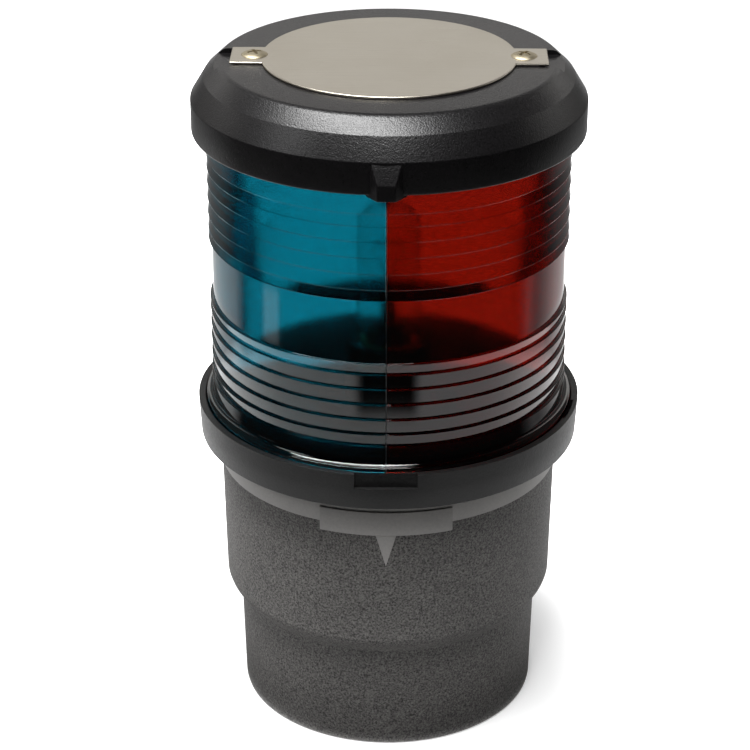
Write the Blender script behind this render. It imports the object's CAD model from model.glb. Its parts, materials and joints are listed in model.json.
"""Looks for the navigation light: fine visible shapes, procedural materials, lights, floor and camera.

Lengths are in millimetres until a mesh is made, and in metres for the lights and the camera. The bow
faces -Y, and green is on the light's -X side.
"""

import json
import math

import bmesh
import bpy
from mathutils import Matrix, Vector


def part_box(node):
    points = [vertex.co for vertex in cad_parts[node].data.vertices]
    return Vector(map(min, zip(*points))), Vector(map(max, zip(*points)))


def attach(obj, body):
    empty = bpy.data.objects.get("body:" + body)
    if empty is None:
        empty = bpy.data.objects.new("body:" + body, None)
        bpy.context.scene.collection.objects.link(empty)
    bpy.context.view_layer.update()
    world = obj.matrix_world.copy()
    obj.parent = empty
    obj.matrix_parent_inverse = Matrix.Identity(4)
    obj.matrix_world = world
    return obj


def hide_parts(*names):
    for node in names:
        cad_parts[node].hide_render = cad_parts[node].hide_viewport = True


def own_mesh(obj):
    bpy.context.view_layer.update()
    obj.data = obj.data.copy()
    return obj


MM = 0.001  # one millimetre in metres

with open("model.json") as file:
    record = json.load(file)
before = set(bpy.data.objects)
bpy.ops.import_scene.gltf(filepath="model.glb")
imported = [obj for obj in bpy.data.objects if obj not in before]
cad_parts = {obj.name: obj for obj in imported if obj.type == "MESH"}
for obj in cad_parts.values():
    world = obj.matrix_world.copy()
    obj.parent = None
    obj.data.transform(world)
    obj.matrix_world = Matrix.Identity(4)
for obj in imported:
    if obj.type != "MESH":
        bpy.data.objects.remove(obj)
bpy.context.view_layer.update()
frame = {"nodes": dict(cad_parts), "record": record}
NODES = frame["nodes"]

# Radii about the light's axis.
FLANGE_R = 52.4
CAP_R = 52.0
BODY_R = 46.5
TUBE_R = 41.2
SOCKET_R = 42.9
SKIRT_R = 42.2
LENS_R = 48.4
LENS_BORE_R = 45.0
PLATE_R = 33.3

# Heights above the deck.
BASE_FLOOR_Z = 4.0
STEP_Z = 30.8
SOCKET_FLOOR_Z = 34.3
SKIRT_Z = 53.4
BAND_LOW_Z = 71.5
BASE_TOP_Z = 79.7
FLANGE_Z = 80.0
RIM_Z = 90.2
FLOOR_Z = 92.0
FOCUS_Z = 128.6
CAP_Z = 167.1
CAP_TOP_Z = 185.3
PLATE_Z = (185.33, 186.0)

# The housing's walls and the holes in its floor.
BASE_WALL = 2.6
CABLE_HOLE_R = 8.2
DECK_HOLE_R = 2.5
DECK_HOLE_CIRCLE_R = 24.0
DECK_HOLE_ANGLES = (262.0, 22.0, 142.0)

# The tag on the housing's band at the bow, and the pointer that hangs under it.
TAG_Z = (69.4, 76.4)
TAG_ARC = (248.0, 292.0)
POINTER_TOP_Z = 69.3
POINTER_TIP_Z = 59.9
POINTER_HALF = 2.65

# The lamp base: its walls, its bulb hole, the notch at the bow and the pocket in the rim's red side.
HEAD_WALL = 3.2
RIM_WALL = 2.0
RIM_GROOVE_Z = 86.6
BULB_HOLE_R = 12.0
HOLE_COLLAR_R = 19.0
NOTCH_HALF = 8.2
NOTCH_Z = 86.1
NOTCH_DEPTHS = (1.5, 1.9)
POCKET_Z = 87.2
POCKET_ARC = (-21.0, -8.0)

# The drum lens: a plain band at the focus, with ribs above and below it. Sectors are in degrees.
BAND_HALF = 8.75
RIB_WIDTHS = (3.0, 4.2, 4.35, 4.3, 4.1, 3.4)
RIB_DEPTH = 0.7
BAND_RECESS = 0.9
LENS_TOP_Z = CAP_Z + 2.9
LENS_FOOT_Z = 88.1
LENS_SECTORS = {"lens_green": (157.5, 270.0), "lens_red": (270.0, 382.5), "lens_clear": (22.5, 157.5)}
SEAM = 0.3
FOOT_R = 50.1
FOOT_Z = 91.1
FOOT_FILLET = 1.6
BORE_ROUGHNESS = 0.15

# The bulb's glass.
BULB_R = 9.0
BULB_NECK_R = 6.4
BULB_TOP_Z = 146.0
BULB_NECK_Z = 106.4
BULB_LOW_Z = 99.0
BULB_WALL = 0.7

# The sprung contacts: the wire's radius and how far the plunger goes down, in the base and in the head.
POLES = ("positive", "negative")
BASE_SPRING = (0.35, 2.2)
LAMP_SPRING = (0.25, 2.0)

# The cap's thickness, its nose, the channels for the plate's ears, the ears and the screws through them.
CAP_WALL = 3.6
NOSE_HALF = 5.2
NOSE_TIP_HALF = 2.3
NOSE_REACH = 2.4
CHANNEL_HALF = 7.2
CHANNEL_DEPTH = 1.3
CHANNEL_START_X = 38.6
EAR_X = 41.2
EAR_HALF = 6.4
PLATE_SCREW_X = 35.0

SHARP_ANGLE = 32.0  # degrees between two faces above which their edge is shaded sharp
PAPER_WHITE = 0.86  # how much light the studio's floor sends back
FLOOR_HALF = 4000.0  # half the side of the studio's square floor
CLOTH_BLACK = 0.012  # the cloth's darkest tone, as a share of PAPER_WHITE
CLOTH_Z = 0.5
CLOTH_END = 170  # degrees from the bow to each end of the cloth, which leaves a gap at the stern


# --- shapes -------------------------------------------------------------------------------------


def polar(radius, degrees):
    """The (x, y) of a point at a radius and an angle from +X."""
    return radius * math.cos(math.radians(degrees)), radius * math.sin(math.radians(degrees))


def rounded(outline, radii, steps=3, closed=True):
    """The outline with each corner turned into an arc of its own radius. A radius of 0 keeps the corner."""
    count = len(outline)
    result = []
    for i, point in enumerate(outline):
        ends = not closed and i in (0, count - 1)
        before = Vector(outline[i - 1])
        after = Vector(outline[(i + 1) % count])
        corner = Vector(point)
        back = before - corner
        ahead = after - corner
        angle = back.angle(ahead, math.pi)
        if ends or radii[i] <= 0 or angle > math.radians(176):
            result.append(tuple(corner))
            continue
        reach = min(radii[i] / math.tan(angle / 2), 0.45 * back.length, 0.45 * ahead.length)
        size = reach * math.tan(angle / 2)
        inward = (back.normalized() + ahead.normalized()).normalized()
        middle = corner + inward * (size / math.sin(angle / 2))
        first = corner + back.normalized() * reach - middle
        last = corner + ahead.normalized() * reach - middle
        turn = first.angle_signed(last)
        for k in range(steps + 1):
            cos = math.cos(-turn * k / steps)
            sin = math.sin(-turn * k / steps)
            across = first.x * cos - first.y * sin
            along = first.x * sin + first.y * cos
            result.append((middle.x + across, middle.y + along))
    return result


def finished(name, mesh, sharp=SHARP_ANGLE):
    """A mesh as a smoothly shaded object in the scene, with its sharp edges kept."""
    mesh.shade_smooth()
    mesh.set_sharp_from_angle(angle=math.radians(sharp))
    obj = bpy.data.objects.new(name, mesh)
    bpy.context.scene.collection.objects.link(obj)
    return obj


def from_bmesh(name, shape, sharp=SHARP_ANGLE):
    """An object from a bmesh, with doubled points merged and every face turned outwards."""
    bmesh.ops.remove_doubles(shape, verts=shape.verts, dist=0.000001)
    bmesh.ops.recalc_face_normals(shape, faces=shape.faces)
    mesh = bpy.data.meshes.new(name)
    shape.to_mesh(mesh)
    shape.free()
    return finished(name, mesh, sharp)


def turned(name, outline, steps=180, ring=True, arc=(0.0, 360.0), at=(0.0, 0.0), sharp=SHARP_ANGLE):
    """An outline of (radius, height) points turned about Z through an arc. A part turn gets flat ends.

    ring joins the outline's last point to its first one. at moves the axis.
    """
    start, end = arc
    whole = end - start > 359.9
    shape = bmesh.new()
    rows = []
    for i in range(steps if whole else steps + 1):
        angle = start + (end - start) * i / steps
        cos, sin = polar(1.0, angle)
        points = [((at[0] + r * cos) * MM, (at[1] + r * sin) * MM, z * MM) for r, z in outline]
        rows.append([shape.verts.new(point) for point in points])
    pairs = list(zip(rows, rows[1:]))
    if whole:
        pairs.append((rows[-1], rows[0]))
    count = len(outline)
    spans = [(i, (i + 1) % count) for i in range(count if ring else count - 1)]
    for a, b in pairs:
        for i, j in spans:
            shape.faces.new((a[i], b[i], b[j], a[j]))
    if not whole:
        shape.faces.new(rows[0])
        shape.faces.new(list(reversed(rows[-1])))
    return from_bmesh(name, shape, sharp)


def prism(name, outline, low, high):
    """A flat outline of (x, y) points made solid between two heights."""
    shape = bmesh.new()
    bottom = [shape.verts.new((x * MM, y * MM, low * MM)) for x, y in outline]
    top = [shape.verts.new((x * MM, y * MM, high * MM)) for x, y in outline]
    shape.faces.new(list(reversed(bottom)))
    shape.faces.new(top)
    for i in range(len(outline)):
        j = (i + 1) % len(outline)
        shape.faces.new((bottom[i], bottom[j], top[j], top[i]))
    return from_bmesh(name, shape)


def wrapped(name, points):
    """The flat-faced solid that wraps a few points."""
    shape = bmesh.new()
    for point in points:
        shape.verts.new(Vector(point) * MM)
    bmesh.ops.convex_hull(shape, input=shape.verts)
    bmesh.ops.dissolve_limit(shape, angle_limit=0.01, verts=shape.verts, edges=shape.edges)
    return from_bmesh(name, shape)


def box(name, low, high):
    """A block between two opposite corners."""
    outline = [(low[0], low[1]), (high[0], low[1]), (high[0], high[1]), (low[0], high[1])]
    return prism(name, outline, low[2], high[2])


def soften(obj, width, segments=2, angle=35):
    """Rounds the edges whose faces meet at more than angle degrees."""
    modifier = obj.modifiers.new("soft_edges", "BEVEL")
    modifier.width = width * MM
    modifier.segments = segments
    modifier.limit_method = "ANGLE"
    modifier.angle_limit = math.radians(angle)
    modifier.harden_normals = False
    return obj


def cut(obj, *tools):
    """Takes the tools' shapes out of obj for good, and removes the tools."""
    for tool in tools:
        modifier = obj.modifiers.new("cut", "BOOLEAN")
        modifier.object = tool
        modifier.operation = "DIFFERENCE"
        modifier.solver = "EXACT"
    bpy.context.view_layer.update()
    graph = bpy.context.evaluated_depsgraph_get()
    mesh = bpy.data.meshes.new_from_object(obj.evaluated_get(graph))
    obj.modifiers.clear()
    obj.data = mesh
    mesh.shade_smooth()
    mesh.set_sharp_from_angle(angle=math.radians(SHARP_ANGLE))
    for tool in tools:
        bpy.data.objects.remove(tool)
    return obj


# --- materials ----------------------------------------------------------------------------------

# The Mix node's sockets share their names, so they are picked by number: the share, then the two values.
MIX_NUMBERS = (0, 2, 3)
MIX_COLOURS = (0, 6, 7)
MIX_COLOUR_OUT = 2


class Paint:
    """A Principled material and short ways to add nodes that follow the object's own coordinates."""

    def __init__(self, name):
        self.material = bpy.data.materials.new(name)
        self.material.use_nodes = True
        self.tree = self.material.node_tree
        self.shader = self.tree.nodes["Principled BSDF"]
        self.place = self.tree.nodes.new("ShaderNodeTexCoord").outputs["Object"]

    def set(self, **values):
        for socket, value in values.items():
            self.shader.inputs[socket.replace("_", " ")].default_value = value

    def link(self, output, socket):
        self.tree.links.new(output, self.shader.inputs[socket])

    def stretched(self, x, y, z):
        node = self.tree.nodes.new("ShaderNodeMapping")
        node.inputs["Scale"].default_value = (x, y, z)
        self.tree.links.new(self.place, node.inputs["Vector"])
        return node.outputs["Vector"]

    def noise(self, scale, detail=2.0, roughness=0.5, where=None):
        node = self.tree.nodes.new("ShaderNodeTexNoise")
        node.inputs["Scale"].default_value = scale
        node.inputs["Detail"].default_value = detail
        node.inputs["Roughness"].default_value = roughness
        self.tree.links.new(where or self.place, node.inputs["Vector"])
        return node.outputs["Fac"]

    def ramp(self, value, *stops):
        """A colour that runs through the stops, each a position and a colour, as value rises."""
        node = self.tree.nodes.new("ShaderNodeValToRGB")
        elements = node.color_ramp.elements
        while len(elements) < len(stops):
            elements.new(0.5)
        for element, (position, colour) in zip(elements, stops):
            element.position = position
            element.color = (*colour, 1.0)
        self.tree.links.new(value, node.inputs["Fac"])
        return node.outputs["Color"]

    def spread(self, value, low, high, start=0.3, end=0.7):
        """Maps value from start..end to low..high."""
        node = self.tree.nodes.new("ShaderNodeMapRange")
        node.inputs["From Min"].default_value = start
        node.inputs["From Max"].default_value = end
        node.inputs["To Min"].default_value = low
        node.inputs["To Max"].default_value = high
        self.tree.links.new(value, node.inputs["Value"])
        return node.outputs["Result"]

    def radius(self):
        """Distance from the light's axis, in metres."""
        flat = self.tree.nodes.new("ShaderNodeVectorMath")
        flat.operation = "MULTIPLY"
        flat.inputs[1].default_value = (1.0, 1.0, 0.0)
        self.tree.links.new(self.place, flat.inputs[0])
        length = self.tree.nodes.new("ShaderNodeVectorMath")
        length.operation = "LENGTH"
        self.tree.links.new(flat.outputs["Vector"], length.inputs[0])
        return length.outputs["Value"]

    def between(self, share, first, second):
        """A number that goes from first to second as share goes from 0 to 1."""
        node = self.tree.nodes.new("ShaderNodeMix")
        for socket, output in zip(MIX_NUMBERS, (share, first, second)):
            self.tree.links.new(output, node.inputs[socket])
        return node.outputs[0]

    def mixed(self, share, first, second, how="MIX"):
        """A colour made of two. Each value is a constant or another node's output."""
        node = self.tree.nodes.new("ShaderNodeMix")
        node.data_type = "RGBA"
        node.blend_type = how
        for socket, value in zip(MIX_COLOURS, (share, first, second)):
            if isinstance(value, bpy.types.NodeSocket):
                self.tree.links.new(value, node.inputs[socket])
            elif socket:
                node.inputs[socket].default_value = (*value, 1.0)
            else:
                node.inputs[socket].default_value = value
        return node.outputs[MIX_COLOUR_OUT]

    def bump(self, height, strength, distance=0.05, below=None):
        node = self.tree.nodes.new("ShaderNodeBump")
        node.inputs["Strength"].default_value = strength
        node.inputs["Distance"].default_value = distance * MM
        self.tree.links.new(height, node.inputs["Height"])
        if below:
            self.tree.links.new(below, node.inputs["Normal"])
        return node.outputs["Normal"]


def grained_plastic(name, dark, light, roughness, scale, depth, specular=0.5):
    """Moulded plastic with a spark-eroded grain of scale specks a metre, faint clouds and rubbed specks."""
    paint = Paint(name)
    grain = paint.noise(scale, 4.0, 0.7)
    clouds = paint.noise(45.0, 3.0)
    colour = paint.ramp(grain, (0.36, dark), (0.66, light))
    shade = paint.ramp(clouds, (0.3, (0.86, 0.86, 0.86)), (0.7, (1.0, 1.0, 1.0)))
    paint.link(paint.mixed(1.0, colour, shade, "MULTIPLY"), "Base Color")
    paint.link(paint.spread(grain, roughness - 0.06, roughness + 0.1), "Roughness")
    coarse = paint.bump(paint.noise(scale * 0.45, 1.0), 0.4 * depth, 0.15)
    paint.link(paint.bump(paint.noise(scale, 1.5, 0.5), depth, 0.12, coarse), "Normal")
    paint.set(Specular_IOR_Level=specular)
    return paint.material


def lens_plastic(name, tint, deep):
    """Tinted clear plastic: polished outside, a duller bore, slight tint drift and hairline scuffs."""
    paint = Paint(name)
    drift = paint.noise(18.0, 2.0)
    paint.link(paint.ramp(drift, (0.3, tint), (0.7, deep)), "Base Color")
    scuffs = paint.noise(260.0, 4.0, 0.7, paint.stretched(1.0, 1.0, 0.12))
    polish = paint.spread(scuffs, 0.02, 0.06, 0.45, 0.75)
    dull = paint.spread(scuffs, BORE_ROUGHNESS - 0.03, BORE_ROUGHNESS + 0.03)
    inside = paint.spread(paint.radius(), 1.0, 0.0, (LENS_BORE_R + 0.2) * MM, (LENS_BORE_R + 0.4) * MM)
    paint.link(paint.between(inside, polish, dull), "Roughness")
    waves = paint.noise(55.0, 1.0, 0.4, paint.stretched(1.0, 1.0, 0.25))
    paint.link(paint.bump(waves, 0.05, 0.3), "Normal")
    paint.set(Transmission_Weight=1.0, IOR=1.5)
    return paint.material


def bulb_glass(name):
    """Thin clear glass with a faint haze."""
    paint = Paint(name)
    haze = paint.noise(90.0, 2.0)
    paint.link(paint.ramp(haze, (0.3, (0.93, 0.95, 0.95)), (0.7, (0.98, 0.99, 0.99))), "Base Color")
    paint.link(paint.spread(haze, 0.0, 0.02), "Roughness")
    paint.set(Transmission_Weight=1.0, IOR=1.5)
    return paint.material


def brushed_metal(name, dark, light, roughness):
    """Metal with fine straight brushing along X, faint clouds and a few stains."""
    paint = Paint(name)
    strokes = paint.noise(6.0, 6.0, 0.7, paint.stretched(6.0, 700.0, 700.0))
    clouds = paint.noise(30.0, 4.0, 0.6)
    colour = paint.ramp(strokes, (0.3, dark), (0.7, light))
    shade = paint.ramp(clouds, (0.35, (0.93, 0.92, 0.90)), (0.65, (1.0, 1.0, 1.0)))
    paint.link(paint.mixed(1.0, colour, shade, "MULTIPLY"), "Base Color")
    paint.link(paint.spread(strokes, roughness - 0.07, roughness + 0.09), "Roughness")
    paint.link(paint.bump(strokes, 0.12, 0.02), "Normal")
    paint.set(Metallic=1.0)
    return paint.material


def turned_metal(name, dark, light, roughness):
    """Bright small metalwork with machining haze and dull patches."""
    paint = Paint(name)
    haze = paint.noise(420.0, 4.0, 0.6, paint.stretched(1.0, 1.0, 6.0))
    patches = paint.noise(160.0, 3.0)
    paint.link(paint.ramp(patches, (0.35, dark), (0.65, light)), "Base Color")
    paint.link(paint.spread(haze, roughness - 0.06, roughness + 0.12), "Roughness")
    paint.link(paint.bump(haze, 0.15, 0.02), "Normal")
    paint.set(Metallic=1.0)
    return paint.material


def soft_plastic(name, dark, light, roughness, scale=600.0):
    """Rubber, wire insulation and hidden mouldings: matt with a little bloom."""
    paint = Paint(name)
    bloom = paint.noise(scale, 4.0, 0.6)
    paint.link(paint.ramp(bloom, (0.35, dark), (0.7, light)), "Base Color")
    paint.link(paint.spread(bloom, roughness - 0.08, roughness + 0.08), "Roughness")
    paint.link(paint.bump(bloom, 0.15, 0.03), "Normal")
    return paint.material


MATERIALS = {
    "textured_plastic": grained_plastic(
        "textured_plastic", (0.012, 0.011, 0.010), (0.25, 0.24, 0.23), 0.6, 1900.0, 0.7
    ),
    "smooth_band": grained_plastic(
        "smooth_band", (0.37, 0.36, 0.35), (0.43, 0.415, 0.40), 0.5, 1500.0, 0.1
    ),
    "cap_plastic": grained_plastic(
        "cap_plastic", (0.002, 0.002, 0.002), (0.007, 0.006, 0.007), 0.32, 2700.0, 0.5
    ),
    "black_plastic": grained_plastic(
        "black_plastic", (0.004, 0.004, 0.004), (0.010, 0.010, 0.010), 0.40, 1700.0, 0.3, 0.38
    ),
    "insulator_plastic": soft_plastic("insulator_plastic", (0.10, 0.08, 0.06), (0.15, 0.12, 0.10), 0.5),
    "green_lens": lens_plastic("green_lens", (0.0012, 0.118, 0.175), (0.0018, 0.13, 0.192)),
    "red_lens": lens_plastic("red_lens", (0.145, 0.0035, 0.001), (0.165, 0.0045, 0.0015)),
    "clear_lens": lens_plastic("clear_lens", (0.93, 0.95, 0.95), (0.96, 0.97, 0.97)),
    "lens_cement": soft_plastic("lens_cement", (0.002, 0.004, 0.006), (0.012, 0.014, 0.016), 0.3, 900.0),
    "clear_glass": bulb_glass("clear_glass"),
    "rubber": soft_plastic("rubber", (0.010, 0.010, 0.010), (0.022, 0.022, 0.021), 0.8),
    "brushed_steel": brushed_metal("brushed_steel", (0.50, 0.46, 0.39), (0.62, 0.58, 0.50), 0.33),
    "plated_screw": turned_metal("plated_screw", (0.36, 0.31, 0.21), (0.50, 0.44, 0.32), 0.44),
    "brass": turned_metal("brass", (0.60, 0.42, 0.16), (0.74, 0.56, 0.26), 0.3),
    "nickel": turned_metal("nickel", (0.52, 0.50, 0.46), (0.66, 0.64, 0.60), 0.25),
    "spring_steel": turned_metal("spring_steel", (0.36, 0.36, 0.37), (0.52, 0.52, 0.53), 0.3),
    "tungsten": turned_metal("tungsten", (0.20, 0.20, 0.21), (0.30, 0.30, 0.31), 0.4),
    "red_wire": soft_plastic("red_wire", (0.28, 0.015, 0.012), (0.38, 0.03, 0.02), 0.45),
    "black_wire": soft_plastic("black_wire", (0.012, 0.012, 0.012), (0.03, 0.03, 0.03), 0.45),
}


def show(obj, body, material, slot, *stands_for):
    """Gives a new piece its material, its slot, its body and the CAD nodes that it replaces."""
    obj.data.materials.clear()
    obj.data.materials.append(MATERIALS[material])
    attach(obj, body)
    if stands_for:
        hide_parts(*stands_for)


def keep_cad_nodes():
    """Every CAD node starts with its own slot's material and smooth shading."""
    slots = {part["node"]: part["material_slot"] for part in frame["record"]["subparts"]}
    for name, node in NODES.items():
        node.data.materials.clear()
        node.data.materials.append(MATERIALS[slots[name]])
        node.data.shade_smooth()
        node.data.set_sharp_from_angle(angle=math.radians(SHARP_ANGLE))


# --- base ---------------------------------------------------------------------------------------


def make_base():
    """The stepped housing with its mounting holes, and the smooth band, tag and pointer moulded on it."""
    outline = [
        (SOCKET_R, BASE_TOP_Z),
        (BODY_R - 0.1, BASE_TOP_Z),
        (BODY_R - 0.1, BAND_LOW_Z),
        (BODY_R - 0.75, STEP_Z + 5.2),
        (BODY_R - 1.3, STEP_Z + 3.7),
        (TUBE_R + 1.5, STEP_Z + 0.7),
        (TUBE_R + 0.7, STEP_Z - 0.3),
        (TUBE_R, 0.0),
        (CABLE_HOLE_R, 0.0),
        (CABLE_HOLE_R, BASE_FLOOR_Z),
        (TUBE_R - BASE_WALL, BASE_FLOOR_Z),
        (TUBE_R - BASE_WALL, SOCKET_FLOOR_Z),
        (SOCKET_R, SOCKET_FLOOR_Z),
    ]
    radii = [0.3, 0.3, 0.2, 1.6, 1.2, 1.2, 0.8, 0.7, 0.3, 0.2, 0.5, 0.3, 0.2]
    body = turned("base_housing_fine", rounded(outline, radii))
    top = BASE_FLOOR_Z + 2.0
    drill = [(0.0, top), (DECK_HOLE_R, top), (DECK_HOLE_R, -1.0), (0.0, -1.0)]
    holes = []
    for i, angle in enumerate(DECK_HOLE_ANGLES):
        place = polar(DECK_HOLE_CIRCLE_R, angle)
        holes.append(turned(f"hole_{i}", drill, 32, ring=False, at=place))
    cut(body, *holes)
    show(body, "base", "textured_plastic", "textured_plastic", "base_housing")

    band = turned("base_band", inlay_outline(0.1, BAND_LOW_Z + 0.4, BASE_TOP_Z - 0.2, 0.25, 0.1))
    show(band, "base", "smooth_band", "textured_plastic")
    tag = turned("base_tag", inlay_outline(0.5, *TAG_Z, 0.2, 0.2), 40, arc=TAG_ARC)
    show(soften(tag, 0.2, angle=60), "base", "smooth_band", "textured_plastic")
    show(make_pointer(), "base", "smooth_band", "textured_plastic")


def inlay_outline(proud, low, high, top_radius, low_radius):
    """A strip set into the housing's side and standing proud of it, with its two outer edges rounded."""
    inner = BODY_R - 1.0
    outer = BODY_R + proud
    corners = [(inner, high), (outer, high), (outer, low), (inner, low)]
    return rounded(corners, [0, top_radius, low_radius, 0])


def make_pointer():
    """The raised triangle, bent to the housing's curve and sinking into it towards its tip."""
    shape = bmesh.new()
    rows = 12
    columns = 5
    inner = []
    outer = []
    for i in range(rows + 1):
        height = POINTER_TOP_Z + (POINTER_TIP_Z - POINTER_TOP_Z) * i / rows
        half = POINTER_HALF * (1 - i / rows) + 0.02
        for j in range(columns):
            x = half * (2 * j / (columns - 1) - 1)
            for layer, radius in ((inner, BODY_R - 1.2), (outer, BODY_R + 0.32 - 0.45 * i / rows)):
                y = -math.sqrt(radius**2 - x**2)
                layer.append(shape.verts.new((x * MM, y * MM, height * MM)))
    for a in range(columns * rows):
        b = a + columns
        column = a % columns
        if column < columns - 1:
            shape.faces.new((outer[a], outer[a + 1], outer[b + 1], outer[b]))
            shape.faces.new((inner[a + 1], inner[a], inner[b], inner[b + 1]))
        if column in (0, columns - 1):
            shape.faces.new((outer[a], inner[a], inner[b], outer[b]))
    for end in (0, columns * rows):
        for a in range(end, end + columns - 1):
            shape.faces.new((outer[a], inner[a], inner[a + 1], outer[a + 1]))
    return soften(from_bmesh("base_pointer", shape), 0.12, angle=50)


# --- head ---------------------------------------------------------------------------------------


def make_lamp_base():
    """The flanged carrier with its rim, notch and pocket."""
    rim_r = FLANGE_R - RIM_WALL
    skirt_bore_r = SKIRT_R - HEAD_WALL
    outline = [
        (BULB_HOLE_R, FLOOR_Z),
        (LENS_BORE_R - 0.6, FLOOR_Z),
        (LENS_BORE_R - 0.6, RIM_GROOVE_Z),
        (rim_r, RIM_GROOVE_Z),
        (rim_r, RIM_Z),
        (FLANGE_R, RIM_Z),
        (FLANGE_R - 0.2, NOTCH_Z - 0.2),
        (FLANGE_R - 0.5, FLANGE_Z),
        (SKIRT_R, FLANGE_Z),
        (SKIRT_R, SKIRT_Z),
        (skirt_bore_r, SKIRT_Z),
        (skirt_bore_r, FLOOR_Z - HEAD_WALL),
        (HOLE_COLLAR_R, FLOOR_Z - HEAD_WALL),
        (HOLE_COLLAR_R, FLANGE_Z),
        (BULB_HOLE_R, FLANGE_Z),
    ]
    radii = [0.3, 0.4, 0.2, 0.2, 0.35, 0, 0.5, 0.5, 0.3, 0.5, 0.3, 0.5, 0.3, 0.3, 0.3]
    body = turned("lamp_base_fine", rounded(outline, radii), 200)
    near_r = rim_r - 0.5
    far_r = rim_r + 0.9
    pocket = [(near_r, RIM_Z + 1), (far_r, RIM_Z + 1), (far_r, POCKET_Z), (near_r, POCKET_Z)]
    cut(body, notch_cutter(), turned("pocket", pocket, 12, arc=POCKET_ARC))
    soften(body, 0.16, angle=60)
    show(body, "head", "black_plastic", "black_plastic", "lamp_base")


def notch_cutter():
    """The notch at the bow: straight sides, and a back wall that leans in towards the top."""
    front_y = -FLANGE_R - 1
    corners = []
    for depth, height in zip(NOTCH_DEPTHS, (NOTCH_Z, RIM_Z + 1)):
        corners += [(x, y, height) for x in (-NOTCH_HALF, NOTCH_HALF) for y in (front_y, depth - FLANGE_R)]
    return wrapped("notch", corners)


def lens_outline():
    """The ribbed drum's outline with softened rib edges."""
    edges = [BAND_HALF]
    for width in RIB_WIDTHS:
        edges.append(edges[-1] + width)
    ribs = list(zip(edges, edges[1:]))
    outline = [(LENS_BORE_R, LENS_TOP_Z), (LENS_R, LENS_TOP_Z), (LENS_R, FOCUS_Z + edges[-1])]
    for near, far in reversed(ribs):
        outline.append((LENS_R - RIB_DEPTH, FOCUS_Z + far))
        outline.append((LENS_R, FOCUS_Z + near))
    outline.append((LENS_R - BAND_RECESS, FOCUS_Z + BAND_HALF))
    outline.append((LENS_R - BAND_RECESS, FOCUS_Z - BAND_HALF))
    for near, far in ribs:
        outline.append((LENS_R, FOCUS_Z - near))
        outline.append((LENS_R - RIB_DEPTH, FOCUS_Z - far))
    outline.append((LENS_R, FOCUS_Z - edges[-1]))
    radii = [0.2, 0.2] + [0.1] * (len(outline) - 2)
    for turn in range(0, 91, 15):
        across, down = polar(FOOT_FILLET, turn)
        outline.append((LENS_R + FOOT_FILLET - across, FOOT_Z + FOOT_FILLET - down))
        radii.append(0)
    outline += [(FOOT_R, FOOT_Z - 0.05), (FOOT_R, LENS_FOOT_Z), (LENS_BORE_R, LENS_FOOT_Z)]
    radii += [0.05, 0.2, 0.2]
    return rounded(outline, radii, steps=2)


def make_lenses():
    """The three coloured sectors, with a dark line of cement in each seam between them."""
    inset = math.degrees(SEAM / 2 / LENS_R)
    half = math.degrees(0.4 * SEAM / LENS_R)
    for name, (start, end) in LENS_SECTORS.items():
        steps = round((end - start) / 1.25)
        lens = turned(name + "_fine", lens_outline(), steps, arc=(start + inset, end - inset), sharp=20)
        slot = name.removeprefix("lens_") + "_lens"
        show(lens, "head", slot, slot, name)
        cement = turned(name + "_joint", lens_outline(), 1, arc=(end - half, end + half), sharp=20)
        show(cement, "head", "lens_cement", slot)


def make_bulb():
    """The bayonet lamp's thin glass: a domed top, straight sides and a neck that sits in the cap."""
    outer = []
    for i in range(11):
        angle = math.pi / 2 * i / 10
        outer.append((BULB_R * math.sin(angle), BULB_TOP_Z - BULB_R * (1 - math.cos(angle))))
    shoulder = [(BULB_R, 5.6), (BULB_R - 0.3, 3.8), (BULB_R - 1.2, 2.2), (BULB_NECK_R + 0.2, 1.0)]
    outer += [(radius, BULB_NECK_Z + rise) for radius, rise in shoulder]
    outer += [(BULB_NECK_R, BULB_NECK_Z), (BULB_NECK_R, BULB_LOW_Z)]
    inner = [(max(r - BULB_WALL, 0.0), min(z, BULB_TOP_Z - BULB_WALL)) for r, z in outer]
    glass = turned("bulb_glass_fine", outer + list(reversed(inner)), 64, ring=False)
    show(glass, "bulb", "clear_glass", "clear_glass", "bulb_glass")


def coil(name, centre, radius, wire, low, high, turns=4, sides=10, steps=28):
    """A helical spring from the height low to the height high. wire is the wire's own radius."""
    shape = bmesh.new()
    rows = []
    rise = high - low - 2 * wire
    for i in range(turns * steps + 1):
        out = Vector((*polar(1.0, 360.0 * i / steps), 0.0))
        middle = Vector((*centre, low + wire + rise * i / (turns * steps))) + radius * out
        ring = []
        for k in range(sides):
            across, up = polar(wire, 360.0 * k / sides)
            ring.append(shape.verts.new((middle + across * out + Vector((0.0, 0.0, up))) * MM))
        rows.append(ring)
    for a, b in zip(rows, rows[1:]):
        for k in range(sides):
            shape.faces.new((a[k], b[k], b[(k + 1) % sides], a[(k + 1) % sides]))
    shape.faces.new(rows[0])
    shape.faces.new(list(reversed(rows[-1])))
    return from_bmesh(name, shape, 50)


def make_springs():
    """Smooth coils for the four sprung contacts, which shorten as their plungers go down."""
    springs = [("contact", pole, "base", *BASE_SPRING) for pole in POLES]
    springs += [("lamp", i, "head", *LAMP_SPRING) for i in (1, 2)]
    for kind, which, body, wire, travel in springs:
        node = f"{kind}_spring_{which}"
        low, high = (Vector(corner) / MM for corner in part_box(node))
        centre = (low + high) / 2
        radius = (high.x - low.x) / 2 - wire
        spring = coil(node + "_fine", (centre.x, centre.y), radius, wire, low.z, high.z)
        show(spring, body, "spring_steel", "spring_steel", node)
        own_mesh(spring)


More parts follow.
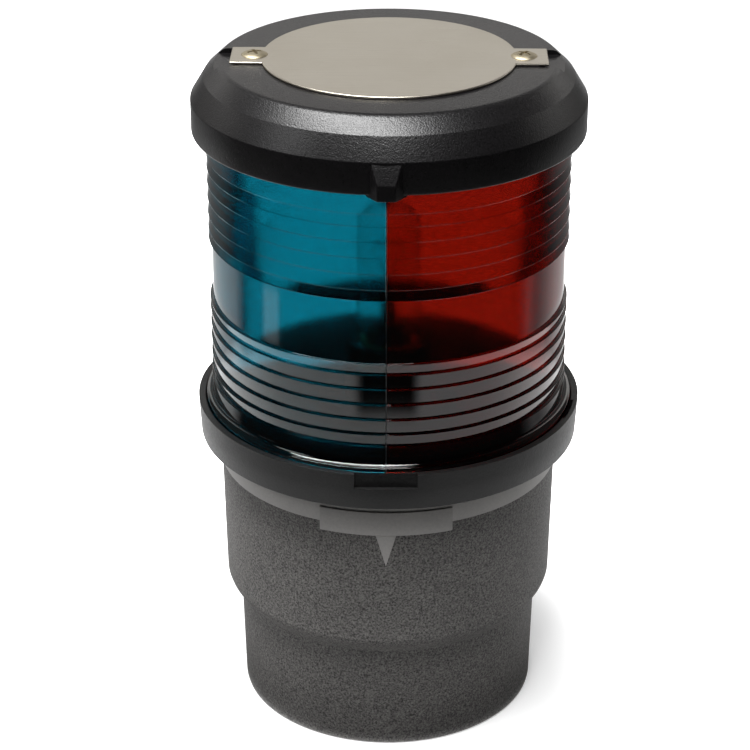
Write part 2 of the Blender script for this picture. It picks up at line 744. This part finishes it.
def make_cap():
    """The bevelled cover, its ear channels and the nose at the bow."""
    groove_z = CAP_Z + 4.7
    lip_z = CAP_Z + 0.6
    bore_r = LENS_BORE_R - 2.4
    ceiling_z = CAP_TOP_Z - CAP_WALL
    outline = [
        (0.0, CAP_TOP_Z),
        (CAP_R - 7.8, CAP_TOP_Z),
        (CAP_R - 3.5, CAP_TOP_Z - 4.0),
        (CAP_R, CAP_TOP_Z - 9.7),
        (CAP_R, CAP_Z),
        (LENS_R + 1.0, CAP_Z),
        (LENS_R + 1.0, groove_z),
        (LENS_BORE_R - 0.5, groove_z),
        (LENS_BORE_R - 0.5, lip_z),
        (bore_r, lip_z),
        (bore_r, ceiling_z - 2.4),
        (bore_r - 2.6, ceiling_z),
        (0.0, ceiling_z),
    ]
    radii = [0, 2.6, 0.7, 0.8, 0.5, 0.2, 0.2, 0.2, 0.2, 0.2, 0.4, 0.4, 0]
    body = turned("cap_fine", rounded(outline, radii, steps=4, closed=False), 216, ring=False)
    tools = []
    for side in (-1, 1):
        left, right = sorted((side * CHANNEL_START_X, side * (CAP_R + 4.0)))
        low = (left, -CHANNEL_HALF, CAP_TOP_Z - CHANNEL_DEPTH)
        high = (right, CHANNEL_HALF, CAP_TOP_Z + 2.0)
        tools.append(box(f"channel_{side}", low, high))
    cut(body, *tools)
    show(body, "head", "cap_plastic", "black_plastic", "cap")
    show(make_nose(), "head", "cap_plastic", "black_plastic")


def make_nose():
    """The wedge that stands out from the cap's side at the bow and narrows upwards and forwards."""
    root_y = 1.6 - CAP_R
    front_y = -CAP_R - NOSE_REACH
    low = CAP_Z - 0.7
    points = [(x, root_y, low) for x in (-NOSE_HALF, NOSE_HALF)]
    points += [(x, root_y, CAP_TOP_Z - 7.4) for x in (0.6 - NOSE_HALF, NOSE_HALF - 0.6)]
    points += [(x, front_y, z) for x in (-NOSE_TIP_HALF, NOSE_TIP_HALF) for z in (low, CAP_Z + 3.4)]
    return soften(wrapped("cap_nose", points), 0.25, segments=3, angle=20)


def make_plate():
    """The brushed plate with square ears."""
    corner = math.degrees(math.asin((EAR_HALF + 0.1) / PLATE_R))
    outline = []
    for side, sign in ((0, -1), (180, 1)):
        outline += [polar(PLATE_R, side + corner + (180 - 2 * corner) * i / 72) for i in range(73)]
        outline += [(sign * EAR_X, -sign * EAR_HALF), (sign * EAR_X, sign * EAR_HALF)]
    plate = prism("name_plate_fine", outline, *PLATE_Z)
    soften(plate, 0.28, segments=3, angle=50)
    show(plate, "head", "brushed_steel", "brushed_steel", "name_plate")


def make_plate_screws():
    """Pan heads with a cross recess, each turned its own way."""
    seat = PLATE_Z[1] - 0.05
    head = [(0.0, 1.0), (1.3, 0.93), (2.4, 0.7), (3.1, 0.38), (3.45, 0.12), (3.5, 0.0)]
    shank = [(1.6, -0.4), (1.6, -8.0), (0.0, -9.5)]
    outline = [(radius, seat + height) for radius, height in head + shank]
    for name, x, turn in (("left", -PLATE_SCREW_X, 20.0), ("right", PLATE_SCREW_X, 52.0)):
        screw = turned(f"plate_screw_{name}_fine", outline, 48, ring=False, at=(x, 0.0))
        tools = []
        for i in (0, 1):
            tool = box(f"recess_{i}", (-1.9, -0.42, seat - 0.1), (1.9, 0.42, seat + 3.0))
            spin = Matrix.Rotation(math.radians(turn + 90 * i), 4, "Z")
            tool.matrix_world = Matrix.Translation((x * MM, 0.0, 0.0)) @ spin
            tools.append(tool)
        cut(screw, *tools)
        show(screw, "head", "plated_screw", "plated_screw", f"plate_screw_{name}")


# --- studio -------------------------------------------------------------------------------------


def plain(name, grey, glow):
    """A matt grey studio surface that also glows a little."""
    material = bpy.data.materials.new(name)
    material.use_nodes = True
    shader = material.node_tree.nodes["Principled BSDF"]
    shader.inputs["Base Color"].default_value = (grey, grey, grey, 1.0)
    shader.inputs["Roughness"].default_value = 0.9
    shader.inputs["Specular IOR Level"].default_value = 0.0
    shader.inputs["Emission Color"].default_value = (1.0, 1.0, 1.0, 1.0)
    shader.inputs["Emission Strength"].default_value = glow
    return material


def make_floor():
    """A wide pale slab with its top just under the deck face."""
    floor = box("floor", (-FLOOR_HALF, -FLOOR_HALF, -20.0), (FLOOR_HALF, FLOOR_HALF, -0.05))
    floor.data.materials.append(plain("pale_floor", PAPER_WHITE, 0.3))


def smooth(value, start, end):
    """0 before start, 1 past end and an S curve between them."""
    share = min(max((value - start) / (end - start), 0.0), 1.0)
    return share * share * (3.0 - 2.0 * share)


def within(value, start, full, fading, end):
    """0 outside start..end, 1 between full and fading, and S curves between them."""
    return smooth(value, start, full) * (1.0 - smooth(value, fading, end))


def table_tone(side, green, radius):
    """The lit table around the light: darker close under it, and darker at the bow than at the sides."""
    sideways = smooth(side, 60, 105)
    under = 0.4 + (0.05 if green else 0.5) * sideways
    under *= 0.35 + 0.65 * smooth(radius, 42, 80)
    around = 0.72 + 0.28 * sideways
    return under + (around - under) * smooth(radius, 90, 150)


def cloth_tone(angle, radius):
    """How light the cloth is at an angle from the bow, negative on the green side, and a distance."""
    side = abs(angle)
    green = angle < 0
    flanks = within(side, 95, 105, 150, 165)
    dark_bow = smooth(radius, 146, 158) * (1 - smooth(side, 14, 22))
    dark_front = smooth(radius, 180, 200) * (1 - (smooth(side, 98, 112) if green else smooth(side, 82, 135)))
    dark_ring = 0.55 * flanks * within(radius, 192, 205, 235, 255)
    dark_edge = 0.5 * flanks * smooth(radius, 270, 300)
    dark_far = smooth(radius, 360, 430) * (1 - 0.35 * smooth(side, 95, 125)) * (1 - smooth(side, 150, 165))
    pale_strip = 0.5 * within(angle, -84, -79, -72, -67) * within(radius, 285, 305, 340, 355)
    tone = table_tone(side, green, radius) * (1 - dark_ring - dark_edge) * (1 - max(dark_bow, dark_front))
    return max((tone + pale_strip) * (1 - dark_far), CLOTH_BLACK)


def make_cloth():
    """A shaded cloth that only mirrors and bounced light see. It reaches past the floor's corners."""
    angles = range(-CLOTH_END, CLOTH_END + 1, 2)
    rings = [*range(42, 475, 6), 500, 600, 800, 1200, 1700, 2500, 4000, 6000]
    shape = bmesh.new()
    rows = []
    for angle in angles:
        cos, sin = polar(1.0, angle - 90)
        rows.append([shape.verts.new((r * cos * MM, r * sin * MM, CLOTH_Z * MM)) for r in rings])
    for a, b in zip(rows, rows[1:]):
        for i in range(len(rings) - 1):
            shape.faces.new((a[i], a[i + 1], b[i + 1], b[i]))
    mesh = bpy.data.meshes.new("floor_cloth")
    shape.to_mesh(mesh)
    shape.free()
    tones = mesh.color_attributes.new("tone", "FLOAT_COLOR", "POINT")
    for i, angle in enumerate(angles):
        for j, radius in enumerate(rings):
            grey = PAPER_WHITE * cloth_tone(angle, radius)
            tones.data[i * len(rings) + j].color = (grey, grey, grey, 1.0)
    cloth = finished("floor_cloth", mesh)
    material = plain("floor_cloth", PAPER_WHITE, 0.35)
    tree = material.node_tree
    tone = tree.nodes.new("ShaderNodeAttribute")
    tone.attribute_name = "tone"
    for socket in ("Base Color", "Emission Color"):
        tree.links.new(tone.outputs["Color"], tree.nodes["Principled BSDF"].inputs[socket])
    mesh.materials.append(material)
    cloth.visible_camera = False
    cloth.visible_shadow = False


def area_light(name, place, aim, width, height, power):
    """A soft rectangular lamp that only the camera can't see."""
    data = bpy.data.lights.new(name, "AREA")
    data.shape = "RECTANGLE"
    data.size = width
    data.size_y = height
    data.energy = power
    light = bpy.data.objects.new(name, data)
    bpy.context.scene.collection.objects.link(light)
    light.location = place
    light.rotation_euler = (Vector(aim) - Vector(place)).to_track_quat("-Z", "Y").to_euler()
    light.visible_camera = False
    return light


def make_world():
    """A dark studio with a pale backdrop that stands low behind the object."""
    world = bpy.data.worlds.new("studio")
    bpy.context.scene.world = world
    world.use_nodes = True
    tree = world.node_tree
    split = tree.nodes.new("ShaderNodeSeparateXYZ")
    tree.links.new(tree.nodes.new("ShaderNodeTexCoord").outputs["Generated"], split.inputs["Vector"])
    behind = tree.nodes.new("ShaderNodeMapRange")
    behind.interpolation_type = "SMOOTHSTEP"
    behind.inputs["From Min"].default_value = -0.1
    behind.inputs["From Max"].default_value = 0.4
    tree.links.new(split.outputs["Y"], behind.inputs["Value"])
    backdrop = tree.nodes.new("ShaderNodeValToRGB")
    tree.links.new(split.outputs["Z"], backdrop.inputs["Fac"])
    stops = backdrop.color_ramp.elements
    levels = ((0.0, 0.2), (0.2, 0.25), (0.26, 1.4), (0.37, 1.35), (0.44, 0.1), (1.0, 0.05))
    while len(stops) < len(levels):
        stops.new(0.5)
    for stop, (height, grey) in zip(stops, levels):
        stop.position = height
        stop.color = (grey, 0.98 * grey, 0.95 * grey, 1.0)
    mix = tree.nodes.new("ShaderNodeMix")
    mix.data_type = "RGBA"
    share, dark, pale = MIX_COLOURS
    mix.inputs[dark].default_value = (0.012, 0.012, 0.013, 1.0)
    tree.links.new(behind.outputs["Result"], mix.inputs[share])
    tree.links.new(backdrop.outputs["Color"], mix.inputs[pale])
    tree.links.new(mix.outputs[MIX_COLOUR_OUT], tree.nodes["Background"].inputs["Color"])


def make_lights():
    area_light("overhead", (-0.22, -0.22, 1.15), (-0.02, -0.02, 0.15), 1.0, 0.38, 26.0)
    area_light("left_panel", (-0.92, -0.4, 0.86), (0.0, 0.0, 0.17), 0.4, 0.4, 1.6)


def make_camera():
    """The photograph's camera, found by fitting the object's outline.

    It stands straight in front of the bow and is then swung a little way round the light.
    """
    swing = math.radians(0.7)
    sideways = math.radians(0.315)
    down = math.radians(25.745)
    data = bpy.data.cameras.new("camera")
    data.sensor_width = 36.0
    data.lens = 112.44
    camera = bpy.data.objects.new("camera", data)
    bpy.context.scene.collection.objects.link(camera)
    place = Matrix.Rotation(swing, 4, "Z") @ Matrix.Translation((-0.00049, -0.5837, 0.3753))
    aim = Matrix.Rotation(sideways, 4, "Z") @ Matrix.Rotation(math.pi / 2 - down, 4, "X")
    camera.matrix_world = place @ aim
    bpy.context.scene.camera = camera


keep_cad_nodes()
make_base()
make_lamp_base()
make_lenses()
make_bulb()
make_springs()
make_cap()
make_plate()
make_plate_screws()
make_floor()
make_cloth()
make_world()
make_lights()
make_camera()
bpy.context.scene.view_settings.view_transform = "Standard"
